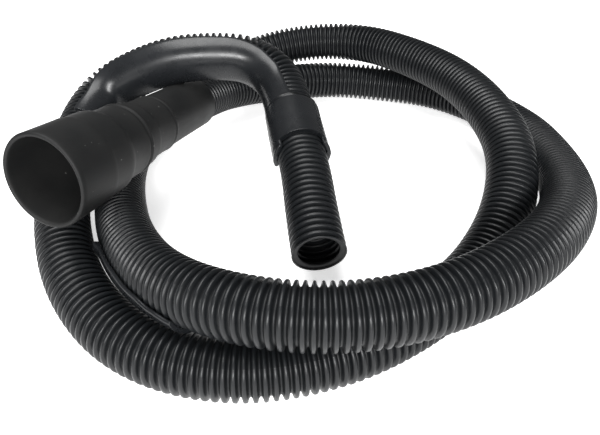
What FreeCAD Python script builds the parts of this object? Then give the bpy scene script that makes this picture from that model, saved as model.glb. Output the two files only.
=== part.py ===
import FreeCAD, Part
import math
import os

# Corrugated drain hose: a ribbed plastic tube lying in two loose turns, with a stepped rubber
# cuff over its inlet end, a U-bend former near its outlet end and a half-round saddle under
# its inner turn. Millimetres, +Z up, the hose lies on z = 0.

# Hose
HOSE_RADIUS = 16.0          # over the ribs
HOSE_BORE_RADIUS = 12.5     # inside the ribs
ARC_SHARE = 0.45            # share of the shorter run that a corner's arc takes

# Cuff, measured along its axis from the end the hose goes in at
CUFF_SOCKET_DEPTH = 46.0    # how far the hose goes in
CUFF_FIT = 0.05             # radial clearance of the hose in the socket
CUFF_STOP_GAP = 0.4         # between the hose's end and the shoulder that stops it
CUFF_SHOULDER = 13.0        # length of the narrow shoulder
CUFF_SHOULDER_BORE = 14.0
CUFF_WALL = 2.6
CUFF_STEP = 4.0             # length of the slope between two stages
SMALL_STAGE = 36.0          # lengths of the three stages that fit a pump's spigot
MIDDLE_STAGE = 34.0
LARGE_STAGE = 48.0
SMALL_BORE = 17.0
MIDDLE_BORE = 19.5
LARGE_BORE = 22.2

# U-bend former: a channel on the inside of the bend, with a collar at its outlet leg
FORMER_GAP = 0.15           # radial clearance to the hose
FORMER_WALL = 2.4
FORMER_LOW_LIP = -22.0      # degrees from the inside of the bend
FORMER_HIGH_LIP = 72.0
COLLAR_WALL = 2.9
COLLAR_WRAP = 125.0         # degrees each side of its top
EAR_FROM = 50.0             # degrees from the collar's top
EAR_TO = 115.0
EAR_TURN = 0.37             # share of the next corner that the ears follow
LUG_RADIUS = 5.5
LUG_THICKNESS = 7.0
LUG_SINK = 1.5              # how far a lug's middle lies below the channel's outer face
LUG_CLEAR = 0.5             # radial clearance of a lug to the hose

# Saddle: a half-round channel on the outside of the inner turn
SADDLE_GAP = 0.15
SADDLE_WALL = 1.6
SADDLE_HIGH_LIP = 16.0      # degrees from the outside of the turn
SADDLE_LOW_LIP = -80.0
SADDLE_TURN = 0.45          # share of its last corner that the saddle follows
SADDLE_LUG_AT = 24.0        # degrees from the outside of the turn

# The route of the hose's middle line, from inside the cuff to the outlet. Each stretch of the
# hose has the corners named here, and meets the next one halfway along the run between them.
ROUTE = [
    ("hose_inlet_end", [(-106, 20, 51), (-87, 86, 37), (-62, 121, 29), (-24, 149, 21)]),
    ("hose_back_lower_run", [(19, 164, 18), (66, 159, 16), (113, 143, 17)]),
    ("hose_right_outer_back", [(151, 109, 16), (172, 62, 18), (171, 11, 25)]),
    ("hose_right_outer_front", [(163, -40, 33), (144, -86, 43), (111, -128, 51)]),
    ("hose_front_upper_run", [(65, -160, 52), (13, -175, 52), (-38, -170, 52)]),
    ("hose_left_inner_front", [(-81, -139, 41), (-110, -94, 31), (-128, -44, 23)]),
    ("hose_left_inner_back", [(-139, 6, 17), (-140, 57, 16), (-127, 106, 16)]),
    ("hose_back_upper_left", [(-91, 143, 26), (-49, 167, 43), (2, 178, 50)]),
    ("hose_back_upper_right", [(51, 168, 52), (87, 127, 54), (113, 82, 55)]),
    ("hose_right_inner_turn", [(127, 31, 53), (131, -21, 47), (118, -68, 32)]),
    ("hose_front_crossing", [(91, -107, 18), (54, -140, 16), (9, -166, 16)]),
    ("hose_front_lower_run", [(-44, -176, 16), (-96, -160, 16), (-133, -123, 20)]),
    ("hose_left_outer_turn", [(-154, -77, 28), (-164, -33, 33), (-169, 6, 38)]),
    ("hose_gooseneck_rise", [(-168, 37, 46), (-156, 57, 58), (-129, 60, 71), (-105, 61, 83)]),
    ("hose_gooseneck_bend", [(-73, 61, 81), (-47, 66, 77), (-28, 57, 70), (-20, 39, 63)]),
    ("hose_gooseneck_collar", [(-13, -3, 52)]),
    ("hose_gooseneck_leg", [(-6, -41, 43)]),
    ("hose_outlet_end", [(-3, -73, 35), (1, -103, 28)]),
]
FORMER_FIRST = "hose_gooseneck_rise"
FORMER_LAST = "hose_gooseneck_bend"
COLLAR_STRETCH = "hose_gooseneck_collar"
SADDLE_STRETCH = "hose_left_inner_front"


def vector(point):
    return FreeCAD.Vector(*[float(value) for value in point])


def unit(from_point, to_point):
    direction = to_point - from_point
    direction.normalize()
    return direction


POINTS = [vector(point) for _, corners in ROUTE for point in corners]


def corners_of(name):
    """First and last place in POINTS of one stretch's own corners."""
    first = 0
    for stretch, corners in ROUTE:
        if stretch == name:
            return first, first + len(corners) - 1
        first += len(corners)


def corner(index):
    """Where the arc at one point starts and ends, its middle, radius, axis and turn."""
    here = POINTS[index]
    into = unit(POINTS[index - 1], here)
    out = unit(here, POINTS[index + 1])
    shorter = min((here - POINTS[index - 1]).Length, (POINTS[index + 1] - here).Length)
    reach = ARC_SHARE * shorter
    turn = into.getAngle(out)
    radius = reach / math.tan(turn / 2)
    inward = unit(into, out)
    depth = radius * (1 / math.cos(turn / 2) - 1)
    return {
        "start": here - into * reach,
        "middle": here + inward * depth,
        "end": here + out * reach,
        "centre": here + inward * (radius + depth),
        "axis": into.cross(out).normalize(),
        "turn": turn,
        "radius": radius,
        "into": into,
        "out": out,
    }


def stretch_ends(first, last):
    """The two ends of a stretch: halfway along its end runs, or the route's own end."""
    start = POINTS[0] if first == 0 else (POINTS[first - 1] + POINTS[first]) * 0.5
    end_index = len(POINTS) - 1
    end = POINTS[-1] if last == end_index else (POINTS[last] + POINTS[last + 1]) * 0.5
    return start, end


def stretch_corners(first, last):
    """The corners that turn: the route's two end points don't."""
    return [corner(i) for i in range(max(first, 1), min(last, len(POINTS) - 2) + 1)]


def stretch_path(first, last):
    start, end = stretch_ends(first, last)
    edges = []
    here = start
    for bend in stretch_corners(first, last):
        edges.append(Part.LineSegment(here, bend["start"]).toShape())
        edges.append(Part.Arc(bend["start"], bend["middle"], bend["end"]).toShape())
        here = bend["end"]
    edges.append(Part.LineSegment(here, end).toShape())
    return Part.Wire(edges)


def rod(path, radius):
    edge = path.OrderedEdges[0]
    start = edge.valueAt(edge.FirstParameter)
    tangent = edge.tangentAt(edge.FirstParameter)
    ring = Part.Wire(Part.makeCircle(radius, start, tangent))
    return path.makePipeShell([ring], True, False)


def make_hose_stretch(name):
    first, last = corners_of(name)
    path = stretch_path(first, last)
    tube = rod(path, HOSE_RADIUS).cut(rod(path, HOSE_BORE_RADIUS))
    section = math.pi * (HOSE_RADIUS ** 2 - HOSE_BORE_RADIUS ** 2)
    radii = [round(bend["radius"]) for bend in stretch_corners(first, last)]
    print(name, "length", round(path.Length), "radii", radii,
          "volume/section*length", round(tube.Volume / (section * path.Length), 4))
    return tube


def sector(centre, tangent, reference, inner, outer, low, high):
    """A slice of a ring across the hose, from low to high degrees from the reference,
    turning towards tangent x reference."""

    def place(radius, degrees):
        return centre + turned(reference, tangent, degrees) * radius

    middle = (low + high) / 2
    edges = [
        Part.Arc(place(outer, low), place(outer, middle), place(outer, high)).toShape(),
        Part.LineSegment(place(outer, high), place(inner, high)).toShape(),
        Part.Arc(place(inner, high), place(inner, middle), place(inner, low)).toShape(),
        Part.LineSegment(place(inner, low), place(outer, low)).toShape(),
    ]
    return Part.Face(Part.Wire(edges))


def across(vector_in, tangent):
    """The part of a vector that is square to the tangent, as a unit vector."""
    flat = vector_in - tangent * vector_in.dot(tangent)
    return flat.normalize()


def channel(first, last, reference, inner, outer, low, high, last_turn=1.0):
    """A channel that follows the hose: straight pieces and turned ones, joined. It stops in
    its last corner if last_turn, the share of that corner that it follows, is under 1."""
    here, end = stretch_ends(first, last)
    pieces = []
    for index in range(first, last + 1):
        bend = corner(index)
        tangent = bend["into"]
        reference = across(reference, tangent)
        face = sector(here, tangent, reference, inner, outer, low, high)
        pieces.append(face.extrude(bend["start"] - here))
        face = sector(bend["start"], tangent, reference, inner, outer, low, high)
        angle = math.degrees(bend["turn"]) * (last_turn if index == last else 1.0)
        pieces.append(face.revolve(bend["centre"], bend["axis"], angle))
        reference = FreeCAD.Rotation(bend["axis"], angle).multVec(reference)
        here = bend["end"]
    if last_turn == 1.0:
        tangent = unit(here, end)
        face = sector(here, tangent, across(reference, tangent), inner, outer, low, high)
        pieces.append(face.extrude(end - here))
    return pieces[0].multiFuse(pieces[1:]).removeSplitter()


def place_in_corner(index, share):
    """Where the hose's middle line is at a share of one corner, and its direction there."""
    bend = corner(index)
    spin = FreeCAD.Rotation(bend["axis"], math.degrees(bend["turn"]) * share)
    return bend["centre"] + spin.multVec(bend["start"] - bend["centre"]), spin.multVec(bend["into"])


def lug(centre, axis, radius, thickness):
    """A rounded finger lug, a short cylinder centred on a point."""
    return Part.makeCylinder(radius, thickness, centre - axis * (thickness / 2), axis)


def trimming_rod(centre, tangent):
    """A short rod a little larger than the hose, to trim a lug that stands beside it."""
    length = 4 * LUG_RADIUS
    start = centre - tangent * (length / 2)
    return Part.makeCylinder(HOSE_RADIUS + LUG_CLEAR, length, start, tangent)


def turned(reference, tangent, degrees):
    """A direction across the hose, some degrees from the reference as in sector."""
    angle = math.radians(degrees)
    return reference * math.cos(angle) + tangent.cross(reference) * math.sin(angle)


def lug_beside(end, tangent, side, outer):
    """A lug near the end of a channel, on the side of the hose that side points to."""
    on_line = end - tangent * LUG_RADIUS
    centre = on_line + side * (outer - LUG_SINK)
    whole = lug(centre, tangent.cross(side), LUG_RADIUS, LUG_THICKNESS)
    return whole.cut(trimming_rod(on_line, tangent))


def make_collar():
    """The sleeve on the outlet leg, open underneath, with an ear and a lug on each side. The
    sleeve is as long as its stretch, and the ears run on into the next corner."""
    first, last = corners_of(COLLAR_STRETCH)
    start = stretch_ends(first, last)[0]
    ear_end, tangent = place_in_corner(last + 1, EAR_TURN)
    up = FreeCAD.Vector(0, 0, 1)
    top = across(up, unit(start, POINTS[first]))
    inner = HOSE_RADIUS + FORMER_GAP
    outer = inner + COLLAR_WALL
    pieces = [channel(first, last, top, inner, outer, -COLLAR_WRAP, COLLAR_WRAP)]
    end_top = across(up, tangent)
    for low, high in ((EAR_FROM, EAR_TO), (-EAR_TO, -EAR_FROM)):
        pieces.append(channel(first, last + 1, top, inner, outer, low, high, EAR_TURN))
        side = turned(end_top, tangent, (low + high) / 2)
        pieces.append(lug_beside(ear_end, tangent, side, outer))
    return pieces


def make_former():
    """The U-bend former: channel and collar are one moulding."""
    first = corners_of(FORMER_FIRST)[0]
    last = corners_of(FORMER_LAST)[1]
    start, end = stretch_ends(first, last)
    inward = across(end - start, unit(start, POINTS[first]))
    inner = HOSE_RADIUS + FORMER_GAP
    outer = inner + FORMER_WALL
    body = channel(first, last, inward, inner, outer, -FORMER_HIGH_LIP, -FORMER_LOW_LIP)
    return body.multiFuse(make_collar()).removeSplitter()


def make_saddle():
    """The half-round saddle, with one lug at its upper end."""
    first = corners_of(SADDLE_STRETCH)[0]
    last = first + 1
    inner = HOSE_RADIUS + SADDLE_GAP
    outer = inner + SADDLE_WALL
    start = corner(first)
    outward = across(start["start"] - start["centre"], start["into"])
    body = channel(first, last, outward, inner, outer, SADDLE_LOW_LIP, SADDLE_HIGH_LIP, SADDLE_TURN)
    end, tangent = place_in_corner(last, SADDLE_TURN)
    side = turned(across(end - corner(last)["centre"], tangent), tangent, SADDLE_LUG_AT)
    tab = lug_beside(end, tangent, side, outer)
    return body.fuse(tab).removeSplitter()


def cuff_profile():
    """Outer and inner outline of the cuff: distance along its axis, radius."""
    socket = HOSE_RADIUS + CUFF_FIT
    shoulder_from = CUFF_SOCKET_DEPTH + CUFF_STOP_GAP
    small_from = shoulder_from + CUFF_SHOULDER
    middle_from = small_from + SMALL_STAGE
    large_from = middle_from + MIDDLE_STAGE
    mouth = large_from + LARGE_STAGE
    inside = [
        (0, socket),
        (shoulder_from, socket),
        (shoulder_from, CUFF_SHOULDER_BORE),
        (small_from, CUFF_SHOULDER_BORE),
        (small_from, SMALL_BORE),
        (middle_from, SMALL_BORE),
        (middle_from, MIDDLE_BORE),
        (large_from, MIDDLE_BORE),
        (large_from, LARGE_BORE),
        (mouth, LARGE_BORE),
    ]
    outside = [
        (mouth, LARGE_BORE + CUFF_WALL),
        (large_from, LARGE_BORE + CUFF_WALL),
        (large_from - CUFF_STEP, MIDDLE_BORE + CUFF_WALL),
        (middle_from, MIDDLE_BORE + CUFF_WALL),
        (middle_from - CUFF_STEP, SMALL_BORE + CUFF_WALL),
        (small_from, SMALL_BORE + CUFF_WALL),
        (small_from - CUFF_STEP, socket + CUFF_WALL),
        (0, socket + CUFF_WALL),
    ]
    return inside + outside


def make_cuff():
    axis = unit(POINTS[1], POINTS[0])
    inlet_plane = POINTS[0] - axis * CUFF_SOCKET_DEPTH
    corners = [FreeCAD.Vector(radius, 0, along) for along, radius in cuff_profile()]
    outline = Part.makePolygon(corners + corners[:1])
    ring = Part.Face(outline).revolve(FreeCAD.Vector(), FreeCAD.Vector(0, 0, 1), 360)
    ring.Placement = FreeCAD.Placement(inlet_plane, FreeCAD.Rotation(FreeCAD.Vector(0, 0, 1), axis))
    mouth = inlet_plane + axis * max(along for along, _ in cuff_profile())
    print("cuff axis", tuple(round(v, 5) for v in axis))
    print("cuff inlet plane", tuple(round(v, 2) for v in inlet_plane))
    print("cuff mouth", tuple(round(v, 2) for v in mouth))
    return ring


def main():
    os.makedirs("parts", exist_ok=True)
    nodes = {name: make_hose_stretch(name) for name, _ in ROUTE}
    nodes["pump_cuff"] = make_cuff()
    nodes["gooseneck_former"] = make_former()
    nodes["bend_saddle"] = make_saddle()
    for name, shape in nodes.items():
        print(name, "valid", shape.isValid(), "solids", len(shape.Solids), "volume", round(shape.Volume))
        shape.exportStep("parts/" + name + ".step")
    whole = Part.makeCompound(list(nodes.values())).BoundBox
    print("box", [round(v, 2) for v in (whole.XMin, whole.XMax, whole.YMin, whole.YMax, whole.ZMin, whole.ZMax)])


main()
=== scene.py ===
import math

import bmesh
import bpy
from mathutils import Matrix, Vector

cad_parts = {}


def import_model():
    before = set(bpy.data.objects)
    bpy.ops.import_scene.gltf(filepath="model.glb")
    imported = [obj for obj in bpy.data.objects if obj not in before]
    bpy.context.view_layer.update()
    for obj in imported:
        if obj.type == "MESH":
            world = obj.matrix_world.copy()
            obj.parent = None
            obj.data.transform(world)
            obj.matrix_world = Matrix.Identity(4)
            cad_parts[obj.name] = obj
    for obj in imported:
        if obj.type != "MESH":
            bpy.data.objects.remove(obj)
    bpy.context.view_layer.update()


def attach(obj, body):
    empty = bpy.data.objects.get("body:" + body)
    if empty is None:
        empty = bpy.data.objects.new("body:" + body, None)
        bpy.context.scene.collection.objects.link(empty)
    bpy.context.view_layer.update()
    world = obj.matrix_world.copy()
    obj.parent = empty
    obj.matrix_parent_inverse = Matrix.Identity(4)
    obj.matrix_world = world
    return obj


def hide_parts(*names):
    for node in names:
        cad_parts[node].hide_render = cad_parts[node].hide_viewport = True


# Looks of the corrugated drain hose: a ribbed tube along its route, a stepped rubber cuff, a
# U-bend former with its collar and ears, and a half-round saddle. Metres, in the CAD's frame.

MM = 0.001

# Hose
HOSE_RADIUS = 16.0 * MM
RIB_DEPTH = 3.0 * MM
RIB_PITCH = 4.35 * MM
HOSE_WALL = 0.9 * MM
HOSE_SIDES = 40
# One rib: how far along the pitch, and how high the wall stands there
RIB_PROFILE = ((0.0, 1.0), (0.11, 0.985), (0.2, 0.88), (0.29, 0.42), (0.39, 0.05),
               (0.5, 0.0), (0.61, 0.05), (0.71, 0.42), (0.8, 0.88), (0.89, 0.985))
RIBS_SEEN_INSIDE = 24       # at each end; the bore is plain between them
SPLINE_STEPS = 40
SEAM_TURN = math.radians(60)

# The route's points as in the CAD, in millimetres: a list for each stretch. Those of the
# gooseneck's rise and bend are up to 5 mm from the CAD's, for a rounder arch.
ROUTE = {
    "hose_inlet_end": [(-106, 20, 51), (-87, 86, 37), (-62, 121, 29), (-24, 149, 21)],
    "hose_back_lower_run": [(19, 164, 18), (66, 159, 16), (113, 143, 17)],
    "hose_right_outer_back": [(151, 109, 16), (172, 62, 18), (171, 11, 25)],
    "hose_right_outer_front": [(163, -40, 33), (144, -86, 43), (111, -128, 51)],
    "hose_front_upper_run": [(65, -160, 52), (13, -175, 52), (-38, -170, 52)],
    "hose_left_inner_front": [(-81, -139, 41), (-110, -94, 31), (-128, -44, 23)],
    "hose_left_inner_back": [(-139, 6, 17), (-140, 57, 16), (-127, 106, 16)],
    "hose_back_upper_left": [(-91, 143, 26), (-49, 167, 43), (2, 178, 50)],
    "hose_back_upper_right": [(51, 168, 52), (87, 127, 54), (113, 82, 55)],
    "hose_right_inner_turn": [(127, 31, 53), (131, -21, 47), (118, -68, 32)],
    "hose_front_crossing": [(91, -107, 18), (54, -140, 16), (9, -166, 16)],
    "hose_front_lower_run": [(-44, -176, 16), (-96, -160, 16), (-133, -123, 20)],
    "hose_left_outer_turn": [(-154, -77, 28), (-164, -33, 33), (-169, 6, 38)],
    "hose_gooseneck_rise": [(-168, 37, 46), (-156, 57, 57), (-130, 60, 70), (-103, 61, 79)],
    "hose_gooseneck_bend": [(-74, 62, 81), (-48, 63, 79), (-29, 54, 71), (-19, 36, 62)],
    "hose_gooseneck_collar": [(-13, -3, 52)],
    "hose_gooseneck_leg": [(-6, -41, 43)],
    "hose_outlet_end": [(-3, -73, 35), (1, -103, 28)],
}

# Former, collar and saddle. Angles in degrees from the top of the hose, positive towards the
# inside of the bend that the hose makes there.
SHELL_GAP = 0.15 * MM
SHELL_WALL = 2.4 * MM
SHELL_INSIDE_LIP = 150.0
# Share of the way along the shell, and how far its upper lip reaches over the top there
SHELL_UPPER_LIP = ((0.0, 0.0), (0.12, 12.0), (0.26, 19.0), (0.4, 20.0), (0.52, 19.0),
                   (0.62, 21.0), (0.72, 26.0), (0.78, 25.0), (0.86, 16.0), (0.93, 11.0),
                   (1.0, 5.0))
COLLAR_WALL = 2.9 * MM
COLLAR_WRAP = 125.0
COLLAR_BLEND = 5.5 * MM     # length of the sweep from the shell's lip to the collar's
EAR_FROM = 50.0
EAR_TO = 115.0
EAR_TURN = 0.17
EAR_FLARE = 0.8 * MM
EAR_OVERLAP = 3.0 * MM
EAR_WAIST = 0.2             # share of the wall that is lost along the middle of an ear
EAR_ROUND_FROM = 0.72       # share of an ear at which its end starts to round off
SADDLE_TURN = 0.5
SADDLE_WALL = 2.4 * MM
# Share of the way along the saddle, and the place of its upper lip there
SADDLE_UPPER_LIP = ((0.0, -100.0), (0.15, -93.0), (0.3, -84.0),
                    (0.6, -76.0), (0.8, -74.0), (1.0, -66.0))
SADDLE_LOW_LIP = -165.0
SADDLE_TAB = 1.9 * MM
SADDLE_ROUNDED = 5.0 * MM   # length of the saddle's end that is rounded off
SADDLE_TAB_AT = 4.5 * MM    # from the end to the middle of the lug
SADDLE_TAB_HALF = 5.0 * MM  # length over which the lug rises and falls
FORMER_EDGE = 0.5 * MM
SADDLE_EDGE = 0.4 * MM
SHEET_STEP = 1.6 * MM       # between two rings of a moulded sheet
SHEET_STRIPS = 32           # across a moulded sheet

# Cuff: distance along its axis from the end the hose goes in at, radius
CUFF_SOCKET_DEPTH = 46.0 * MM
CUFF_OUTSIDE = ((0.0, 17.7), (0.5, 18.3), (1.6, 18.65), (40.5, 18.75), (62.0, 18.8), (64.0, 18.9),
                (65.2, 19.6), (66.1, 19.8), (67.0, 19.2), (67.9, 19.0), (68.8, 19.5), (69.8, 19.6),
                (71.0, 19.4), (88.0, 19.7), (89.6, 20.2), (91.5, 21.0), (94.0, 21.4), (100.0, 21.4),
                (101.2, 21.6), (102.2, 22.3), (103.0, 22.7), (103.9, 22.5), (104.8, 21.7),
                (105.7, 21.6), (106.6, 22.2), (107.7, 22.4), (109.2, 22.2), (123.0, 22.3),
                (125.2, 22.9), (127.4, 24.0), (129.6, 24.4), (132.0, 24.5), (144.5, 24.6),
                (146.0, 24.75), (147.4, 24.95), (149.0, 24.85), (163.0, 24.8), (173.6, 24.85),
                (176.2, 24.9), (177.1, 24.5), (177.4, 23.8))
CUFF_INSIDE = ((177.3, 22.9), (176.6, 22.4), (175.0, 22.2), (130.2, 22.2), (129.5, 22.0),
               (129.4, 20.2), (128.8, 19.6), (127.6, 19.5), (96.2, 19.5), (95.5, 19.2),
               (95.4, 17.6), (94.8, 17.1), (93.6, 17.0), (60.2, 17.0), (59.4, 16.7),
               (59.3, 14.4), (58.6, 14.0), (47.2, 14.0), (46.4, 14.4), (46.3, 16.0),
               (45.6, 16.1), (0.4, 16.1), (0.1, 16.6))
CUFF_SIDES = 96
# The soft mouth has gone slightly oval, more so towards its rim
CUFF_OVAL = 0.06
CUFF_OVAL_FROM = 60.0
CUFF_OVAL_TURN = math.radians(20)

# Camera
CAMERA_PLACE = (-0.010, -0.345, 0.2363)
CAMERA_PITCH = math.radians(53)
CAMERA_LENS = 33.84
SENSOR_WIDTH = 36.0


def points_in_metres():
    return [Vector(point) * MM for points in ROUTE.values() for point in points]


def route_line(points):
    """The smooth line that the hose follows, read from a NURBS spline through the route."""
    curve = bpy.data.curves.new("route", "CURVE")
    curve.dimensions = "3D"
    curve.resolution_u = SPLINE_STEPS
    spline = curve.splines.new("NURBS")
    spline.points.add(len(points) - 1)
    for place, point in zip(spline.points, points):
        place.co = (*point, 1.0)
    spline.order_u = 3
    spline.use_endpoint_u = True
    holder = bpy.data.objects.new("route", curve)
    mesh = bpy.data.meshes.new_from_object(holder)
    line = [vertex.co.copy() for vertex in mesh.vertices]
    bpy.data.objects.remove(holder)
    bpy.data.curves.remove(curve)
    bpy.data.meshes.remove(mesh)
    return line


class Path:
    """A smooth line with places along it by distance, and a frame that doesn't twist."""

    def __init__(self, line):
        self.line = line
        self.reach = [0.0]
        for here, there in zip(line, line[1:]):
            self.reach.append(self.reach[-1] + (there - here).length)
        self.length = self.reach[-1]
        self.cursor = 0

    def segment(self, distance):
        distance = min(max(distance, 0.0), self.length)
        while self.cursor > 0 and self.reach[self.cursor] > distance:
            self.cursor -= 1
        while self.cursor < len(self.line) - 2 and self.reach[self.cursor + 1] < distance:
            self.cursor += 1
        low = self.reach[self.cursor]
        high = self.reach[self.cursor + 1]
        share = (distance - low) / (high - low) if high > low else 0.0
        return self.cursor, share

    def at(self, distance):
        index, share = self.segment(distance)
        return self.line[index].lerp(self.line[index + 1], share)

    def tangent(self, distance, window=1.5 * MM):
        return (self.at(distance + window) - self.at(distance - window)).normalized()

    def nearest(self, point):
        index = min(range(len(self.line)), key=lambda i: (self.line[i] - point).length)
        return self.reach[index]


def across(direction, tangent):
    """The part of a direction that is square to the tangent, as a unit vector."""
    return (direction - tangent * direction.dot(tangent)).normalized()


def upright_frame(path, distance):
    """Middle, up and inside-of-the-bend directions for a hose that bends to its right."""
    tangent = path.tangent(distance)
    up = across(Vector((0, 0, 1)), tangent)
    return path.at(distance), up, tangent.cross(up)


def ring(centre, first, second, radius, sides):
    """Points round a circle, or round an oval where the two directions differ in length."""
    points = []
    for index in range(sides):
        angle = 2 * math.pi * index / sides
        points.append(centre + (first * math.cos(angle) + second * math.sin(angle)) * radius)
    return points


def new_object(name, mesh):
    piece = bpy.data.objects.new(name, mesh)
    bpy.context.scene.collection.objects.link(piece)
    return piece


def smooth(mesh):
    mesh.polygons.foreach_set("use_smooth", [True] * len(mesh.polygons))


def tube_mesh(name, rings, distances):
    """Closed skin from rings that run out and back, with the distance along it in its UVs."""
    sides = len(rings[0])
    count = len(rings)
    vertices = [point for points in rings for point in points]
    faces = []
    coordinates = []
    for row in range(count):
        following = (row + 1) % count
        for column in range(sides):
            beside = (column + 1) % sides
            faces.append((row * sides + column, row * sides + beside,
                          following * sides + beside, following * sides + column))
            left = column / sides
            right = (column + 1) / sides
            coordinates += [left, distances[row], right, distances[row],
                            right, distances[following], left, distances[following]]
    mesh = bpy.data.meshes.new(name)
    mesh.from_pydata(vertices, [], faces)
    layer = mesh.uv_layers.new(name="along")
    layer.data.foreach_set("uv", coordinates)
    smooth(mesh)
    return mesh


def rib_places(ribs, pitch):
    """Distances and heights of the rings that make the outer skin."""
    places = [((rib + share) * pitch, height) for rib in range(ribs) for share, height in RIB_PROFILE]
    return places + [(ribs * pitch, 1.0)]


def bore_places(ribs, pitch):
    """The same for the inner skin, from the far end back: ribs only where they can be seen."""
    seen = RIBS_SEEN_INSIDE * pitch
    length = ribs * pitch
    places = rib_places(ribs, pitch)
    kept = []
    for distance, height in places:
        near_an_end = distance <= seen or distance >= length - seen
        if near_an_end or height == 0.0:
            kept.append((distance, height))
    return list(reversed(kept))


def untwisted(path, distances):
    """First and second directions at each distance, carried along without twist."""
    frames = {}
    first = None
    for distance in sorted(set(distances)):
        tangent = path.tangent(distance)
        if first is None:
            up = across(Vector((0, 0, 1)), tangent)
            first = Matrix.Rotation(SEAM_TURN, 3, tangent) @ up
        first = across(first, tangent)
        frames[distance] = (first, tangent.cross(first))
    return frames


def make_hose(path):
    ribs = round(path.length / RIB_PITCH)
    pitch = path.length / ribs
    outer = rib_places(ribs, pitch)
    inner = bore_places(ribs, pitch)
    frames = untwisted(path, [distance for distance, _ in outer])
    valley = HOSE_RADIUS - RIB_DEPTH
    rings = []
    distances = []
    for places, wall in ((outer, 0.0), (inner, HOSE_WALL)):
        for distance, height in places:
            first, second = frames[distance]
            radius = valley + RIB_DEPTH * height - wall
            rings.append(ring(path.at(distance), first, second, radius, HOSE_SIDES))
            distances.append(distance)
    hose = new_object("drain_hose", tube_mesh("drain_hose", rings, distances))
    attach(hose, "hose")
    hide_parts(*ROUTE)
    return hose, pitch


def section(centre, up, inside, inner, outer, low, high):
    """Closed outline of a slice of a ring with rounded lips: its outer side, then its inner."""
    outline = []
    wall = outer - inner
    lip = math.degrees(wall * 0.5 / outer)
    for radius_share in (1, 0):
        row = []
        for index in range(SHEET_STRIPS + 1):
            angle = low + (high - low) * index / SHEET_STRIPS
            near_lip = min(angle - low, high - angle) / lip
            inset = wall * 0.36 * max(0.0, 1 - near_lip) ** 2
            radius = outer - inset if radius_share else inner + inset
            turn = math.radians(angle)
            row.append(centre + (up * math.cos(turn) + inside * math.sin(turn)) * radius)
        outline += row if radius_share else reversed(row)
    return outline


def sheet_mesh(name, outlines):
    """A moulded sheet from closed outlines, one after another, with its two ends shut."""
    size = len(outlines[0])
    shape = bmesh.new()
    rows = [[shape.verts.new(point) for point in outline] for outline in outlines]
    for here, there in zip(rows, rows[1:]):
        for index in range(size):
            beside = (index + 1) % size
            shape.faces.new((here[index], here[beside], there[beside], there[index]))
    for row in (rows[0], rows[-1]):
        for index in range(size // 2 - 1):
            shape.faces.new((row[index], row[index + 1], row[size - 2 - index], row[size - 1 - index]))
    bmesh.ops.recalc_face_normals(shape, faces=shape.faces)
    mesh = bpy.data.meshes.new(name)
    shape.to_mesh(mesh)
    shape.free()
    smooth(mesh)
    return mesh


def soften(piece, width):
    """Rounds a moulding's hard edges."""
    bevel = piece.modifiers.new("rounded_edges", "BEVEL")
    bevel.width = width
    bevel.segments = 3
    bevel.limit_method = "ANGLE"
    bevel.angle_limit = math.radians(50)
    bevel.harden_normals = True


def between(table, share):
    """Smoothly read value between the pairs of a table."""
    for (low, first), (high, last) in zip(table, table[1:]):
        if share <= high:
            part = max(0.0, (share - low) / (high - low))
            return first + (last - first) * part * part * (3 - 2 * part)
    return table[-1][1]


def ease(share):
    share = min(max(share, 0.0), 1.0)
    return share * share * (3 - 2 * share)


def stations(start, end):
    count = max(2, math.ceil((end - start) / SHEET_STEP))
    return [start + (end - start) * index / count for index in range(count + 1)]


def join_between(path, before, after):
    """Where one stretch meets the next: halfway along the run between their points."""
    return path.nearest((Vector(ROUTE[before][-1]) + Vector(ROUTE[after][0])) * 0.5 * MM)


def beyond_join(path, before, after, share):
    """A share of the way from one join between stretches' points to the next join."""
    start = join_between(path, before, after)
    points = [Vector(point) * MM for point in ROUTE[after]]
    return start + (points[0] - path.at(start)).length * 2 * share


def make_shell(path):
    """The channel inside the bend, which sweeps up into the collar on the outlet leg."""
    start = join_between(path, "hose_left_outer_turn", "hose_gooseneck_rise")
    collar_from = join_between(path, "hose_gooseneck_bend", "hose_gooseneck_collar")
    end = join_between(path, "hose_gooseneck_collar", "hose_gooseneck_leg")
    inner = HOSE_RADIUS + SHELL_GAP
    outlines = []
    for distance in stations(start, end):
        share = (distance - start) / (collar_from - start)
        collar = ease((distance - collar_from) / COLLAR_BLEND)
        upper = between(SHELL_UPPER_LIP, share)
        low = upper + (-COLLAR_WRAP - upper) * collar
        high = SHELL_INSIDE_LIP + (COLLAR_WRAP - SHELL_INSIDE_LIP) * collar
        wall = SHELL_WALL + (COLLAR_WALL - SHELL_WALL) * collar
        centre, up, inside = upright_frame(path, distance)
        outlines.append(section(centre, up, inside, inner, inner + wall, low, high))
    return new_object("gooseneck_shell", sheet_mesh("gooseneck_shell", outlines))


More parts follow.
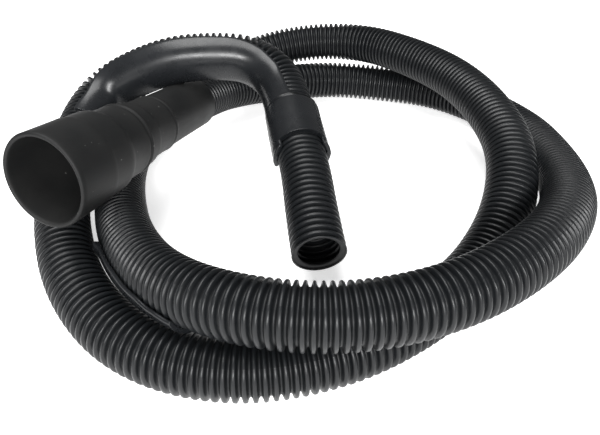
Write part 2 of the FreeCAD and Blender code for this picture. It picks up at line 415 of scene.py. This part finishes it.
def make_ear(path, name, hand):
    """A strip beside the hose that ends in a rounded, flared finger lug."""
    collar_end = join_between(path, "hose_gooseneck_collar", "hose_gooseneck_leg")
    end = beyond_join(path, "hose_gooseneck_collar", "hose_gooseneck_leg", EAR_TURN)
    inner = HOSE_RADIUS + SHELL_GAP
    middle = (EAR_FROM + EAR_TO) / 2
    half = (EAR_TO - EAR_FROM) / 2
    outlines = []
    for distance in stations(collar_end - EAR_OVERLAP, end):
        share = (distance - collar_end) / (end - collar_end)
        rounding = math.sqrt(max(0.02, 1 - max(0.0, (share - EAR_ROUND_FROM) / 0.285) ** 2))
        wall = COLLAR_WALL * (0.98 - EAR_WAIST * ease((share - 0.1) / 0.4))
        wall += EAR_FLARE * ease((share - 0.5) / 0.3)
        centre, up, inside = upright_frame(path, distance)
        reach = half * rounding
        low, high = sorted((hand * (middle - reach), hand * (middle + reach)))
        outlines.append(section(centre, up, inside, inner, inner + wall, low, high))
    return new_object(name, sheet_mesh(name, outlines))


def make_former(path):
    shell = make_shell(path)
    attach(shell, "hose")
    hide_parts("gooseneck_former")
    pieces = [shell, make_ear(path, "gooseneck_ear_inner", 1), make_ear(path, "gooseneck_ear_outer", -1)]
    for piece in pieces:
        soften(piece, FORMER_EDGE)
    for piece in pieces[1:]:
        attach(piece, "hose")
    return pieces


def make_saddle(path):
    """The half-round channel outside and below the inner turn, with its lug."""
    start = join_between(path, "hose_front_upper_run", "hose_left_inner_front")
    first, second, third = [Vector(point) * MM for point in ROUTE["hose_left_inner_front"]]
    middle = path.nearest((first + second) * 0.5)
    end = middle + ((third - first).length * 0.5) * SADDLE_TURN
    inner = HOSE_RADIUS + SHELL_GAP
    outlines = []
    for distance in stations(start, end):
        left = end - distance
        share = (distance - start) / (end - start)
        rounding = math.sqrt(max(0.06, 1 - max(0.0, 1 - left / SADDLE_ROUNDED) ** 2))
        tab = ease(1.2 - abs(left - SADDLE_TAB_AT) / SADDLE_TAB_HALF)
        centre, up, inside = upright_frame(path, distance)
        upper = between(SADDLE_UPPER_LIP, share)
        half = (upper - SADDLE_LOW_LIP) / 2
        high = SADDLE_LOW_LIP + half * (1 + rounding)
        low = SADDLE_LOW_LIP + half * (1 - rounding)
        outline = section(centre, up, inside, inner, inner + SADDLE_WALL, low, high)
        outlines.append(flare(outline, centre, SADDLE_TAB * tab))
    saddle = new_object("bend_saddle_shell", sheet_mesh("bend_saddle_shell", outlines))
    soften(saddle, SADDLE_EDGE)
    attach(saddle, "hose")
    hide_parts("bend_saddle")
    return saddle


def flare(outline, centre, height):
    """Raises a sheet's outer side near its upper lip, where the lug is."""
    raised = list(outline)
    for index in range(SHEET_STRIPS + 1):
        near = ease((index / SHEET_STRIPS - 0.72) / 0.2)
        away = (outline[index] - centre).normalized()
        raised[index] = outline[index] + away * (height * near)
    return raised


def make_cuff(path):
    """The stepped rubber cuff, turned round its axis."""
    first, second = [Vector(point) * MM for point in ROUTE["hose_inlet_end"][:2]]
    axis = (first - second).normalized()
    inlet = first - axis * CUFF_SOCKET_DEPTH
    side = across(Vector((0, 0, 1)), axis)
    profile = CUFF_OUTSIDE + CUFF_INSIDE
    rings = []
    distances = []
    tall = Matrix.Rotation(CUFF_OVAL_TURN, 3, axis) @ side
    wide = axis.cross(tall)
    for along, radius in profile:
        centre = inlet + axis * (along * MM)
        oval = 1 + CUFF_OVAL * ease((along - CUFF_OVAL_FROM) / (CUFF_OUTSIDE[-1][0] - CUFF_OVAL_FROM))
        rings.append(ring(centre, tall * oval, wide / oval, radius * MM, CUFF_SIDES))
        distances.append(along * MM)
    cuff = new_object("pump_cuff_rubber", tube_mesh("pump_cuff_rubber", rings, distances))
    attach(cuff, "cuff")
    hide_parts("pump_cuff")
    return cuff


# Materials

class Nodes:
    """A material's nodes, added one by one."""

    def __init__(self, name):
        self.material = bpy.data.materials.new(name)
        self.material.use_nodes = True
        self.tree = self.material.node_tree
        self.shader = self.tree.nodes["Principled BSDF"]

    def add(self, kind, **settings):
        node = self.tree.nodes.new(kind)
        for name, value in settings.items():
            setattr(node, name, value)
        return node

    def link(self, source, target):
        self.tree.links.new(source, target)

    def place(self):
        return self.add("ShaderNodeTexCoord").outputs["Object"]

    def noise(self, place, scale, detail=4.0, roughness=0.55):
        node = self.add("ShaderNodeTexNoise")
        node.inputs["Scale"].default_value = scale
        node.inputs["Detail"].default_value = detail
        node.inputs["Roughness"].default_value = roughness
        self.link(place, node.inputs["Vector"])
        return node.outputs["Fac"]

    def spread(self, value, low, high, to_low, to_high):
        node = self.add("ShaderNodeMapRange")
        limits = {"From Min": low, "From Max": high, "To Min": to_low, "To Max": to_high}
        for name, number in limits.items():
            node.inputs[name].default_value = number
        self.link(value, node.inputs["Value"])
        return node.outputs["Result"]

    def maths(self, operation, first, second=None):
        node = self.add("ShaderNodeMath", operation=operation)
        for socket, value in zip(node.inputs, (first, second)):
            if value is None:
                continue
            if isinstance(value, (int, float)):
                socket.default_value = value
            else:
                self.link(value, socket)
        return node.outputs["Value"]

    def blend(self, factor, first, second):
        node = self.add("ShaderNodeMix", data_type="RGBA")
        self.link(factor, node.inputs["Factor"])
        for name, value in (("A", first), ("B", second)):
            socket = [s for s in node.inputs if s.name == name and s.type == "RGBA"][0]
            if isinstance(value, tuple):
                socket.default_value = (*value, 1.0)
            else:
                self.link(value, socket)
        return [s for s in node.outputs if s.type == "RGBA"][0]

    def bump(self, height, distance, strength, under=None):
        node = self.add("ShaderNodeBump")
        node.inputs["Distance"].default_value = distance
        node.inputs["Strength"].default_value = strength
        self.link(height, node.inputs["Height"])
        if under is not None:
            self.link(under, node.inputs["Normal"])
        return node.outputs["Normal"]

    def finish(self, colour, roughness, normal, **values):
        self.link(colour, self.shader.inputs["Base Color"])
        self.link(roughness, self.shader.inputs["Roughness"])
        self.link(normal, self.shader.inputs["Normal"])
        for name, value in values.items():
            self.shader.inputs[name.replace("_", " ")].default_value = value
        return self.material


def hose_material(pitch):
    """Black polyethylene: dusty grooves, rubbed crests and a mould seam down each side."""
    nodes = Nodes("ribbed_polyethylene")
    place = nodes.place()
    along = nodes.add("ShaderNodeSeparateXYZ")
    nodes.link(nodes.add("ShaderNodeUVMap", uv_map="along").outputs["UV"], along.inputs["Vector"])
    phase = nodes.maths("MULTIPLY", along.outputs["Y"], 2 * math.pi / pitch)
    crest = nodes.spread(nodes.maths("COSINE", phase), 0.35, 1.0, 0.0, 1.0)
    groove = nodes.spread(nodes.maths("COSINE", phase), -1.0, -0.1, 1.0, 0.0)
    patches = nodes.noise(place, 26, 3)
    grain = nodes.noise(place, 420, 5)
    streaks = nodes.noise(place, 1500, 2)
    rubbed = nodes.maths("MULTIPLY", crest, nodes.spread(patches, 0.4, 0.7, 0.1, 0.8))
    dusty = nodes.maths("MULTIPLY", groove, nodes.spread(grain, 0.45, 0.75, 0.0, 0.7))
    colour = nodes.blend(rubbed, (0.0045, 0.0052, 0.0060), (0.0105, 0.0115, 0.0125))
    colour = nodes.blend(dusty, colour, (0.008, 0.0085, 0.0085))
    roughness = nodes.spread(grain, 0.3, 0.7, 0.31, 0.42)
    roughness = nodes.maths("ADD", roughness, nodes.maths("MULTIPLY", groove, 0.12))
    half_turns = nodes.maths("FRACT", nodes.maths("MULTIPLY", along.outputs["X"], 2))
    off_seam = nodes.maths("ABSOLUTE", nodes.maths("SUBTRACT", half_turns, 0.5))
    seam = nodes.spread(off_seam, 0.0, 0.009, 1.0, 0.0)
    normal = nodes.bump(seam, 0.08 * MM, 0.5)
    normal = nodes.bump(grain, 0.04 * MM, 0.35, normal)
    normal = nodes.bump(streaks, 0.015 * MM, 0.3, normal)
    return nodes.finish(colour, roughness, normal, Specular_IOR_Level=0.27)


def former_material():
    """Smooth moulded plastic with a soft shine and fine handling marks."""
    nodes = Nodes("moulded_former")
    place = nodes.place()
    clouds = nodes.noise(place, 18, 3)
    grain = nodes.noise(place, 900, 4)
    marks = nodes.noise(place, 90, 6, 0.7)
    colour = nodes.blend(nodes.spread(clouds, 0.35, 0.65, 0.0, 1.0),
                         (0.0065, 0.0072, 0.0082), (0.011, 0.012, 0.0135))
    roughness = nodes.spread(marks, 0.3, 0.75, 0.22, 0.36)
    normal = nodes.bump(clouds, 0.5 * MM, 0.2)
    normal = nodes.bump(grain, 0.03 * MM, 0.5, normal)
    return nodes.finish(colour, roughness, normal, Specular_IOR_Level=0.34)


def cuff_material():
    """Matte soft rubber: a fine skin, faint cloudy tone and a few pale specks of dust."""
    nodes = Nodes("soft_rubber")
    place = nodes.place()
    clouds = nodes.noise(place, 30, 4)
    skin = nodes.noise(place, 1300, 4)
    specks = nodes.noise(place, 380, 1, 0.3)
    colour = nodes.blend(nodes.spread(clouds, 0.35, 0.7, 0.0, 1.0),
                         (0.0085, 0.0088, 0.009), (0.013, 0.013, 0.0128))
    colour = nodes.blend(nodes.spread(specks, 0.79, 0.82, 0.0, 0.7), colour, (0.15, 0.15, 0.145))
    roughness = nodes.spread(clouds, 0.3, 0.7, 0.50, 0.62)
    normal = nodes.bump(clouds, 0.6 * MM, 0.25)
    normal = nodes.bump(skin, 0.05 * MM, 0.6, normal)
    return nodes.finish(colour, roughness, normal, Specular_IOR_Level=0.18)


def floor_material():
    nodes = Nodes("pale_floor")
    place = nodes.place()
    grain = nodes.noise(place, 60, 3)
    colour = nodes.blend(grain, (0.90, 0.90, 0.90), (0.92, 0.92, 0.92))
    roughness = nodes.spread(grain, 0.3, 0.7, 0.75, 0.85)
    return nodes.finish(colour, roughness, nodes.bump(grain, 0.05 * MM, 0.1),
                        Emission_Color=(1.0, 1.0, 1.0, 1.0), Emission_Strength=0.6)


# Stage

def make_floor():
    half = 6.0
    shape = bmesh.new()
    bmesh.ops.create_grid(shape, x_segments=8, y_segments=8, size=half)
    mesh = bpy.data.meshes.new("floor")
    shape.to_mesh(mesh)
    shape.free()
    floor = new_object("floor", mesh)
    floor.data.materials.append(floor_material())


def make_camera():
    data = bpy.data.cameras.new("camera")
    data.sensor_fit = "HORIZONTAL"
    data.sensor_width = SENSOR_WIDTH
    data.lens = CAMERA_LENS
    data.clip_start = 0.01
    camera = bpy.data.objects.new("camera", data)
    camera.location = CAMERA_PLACE
    camera.rotation_euler = (CAMERA_PITCH, 0, 0)
    bpy.context.scene.collection.objects.link(camera)
    bpy.context.scene.camera = camera


def soft_box(name, place, target, width, height, power):
    data = bpy.data.lights.new(name, "AREA")
    data.shape = "RECTANGLE"
    data.size = width
    data.size_y = height
    data.energy = power
    lamp = bpy.data.objects.new(name, data)
    lamp.location = place
    aim = Vector(target) - Vector(place)
    lamp.rotation_euler = aim.to_track_quat("-Z", "Y").to_euler()
    bpy.context.scene.collection.objects.link(lamp)


def light_scene():
    world = bpy.data.worlds.new("studio")
    world.use_nodes = True
    background = world.node_tree.nodes["Background"]
    background.inputs["Color"].default_value = (1.0, 1.0, 1.0, 1.0)
    background.inputs["Strength"].default_value = 0.22
    bpy.context.scene.world = world
    soft_box("overhead", (-0.25, -0.05, 1.3), (0, 0, 0), 1.0, 0.8, 22)
    soft_box("front", (0.1, -1.5, 0.75), (0, 0, 0.03), 1.3, 0.28, 44)
    bpy.context.scene.view_settings.view_transform = "Standard"


def main():
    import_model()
    make_camera()
    path = Path(route_line(points_in_metres()))
    hose, pitch = make_hose(path)
    hose.data.materials.append(hose_material(pitch))
    moulded = former_material()
    for piece in make_former(path) + [make_saddle(path)]:
        piece.data.materials.append(moulded)
    cuff = make_cuff(path)
    cuff.data.materials.append(cuff_material())
    make_floor()
    light_scene()


main()
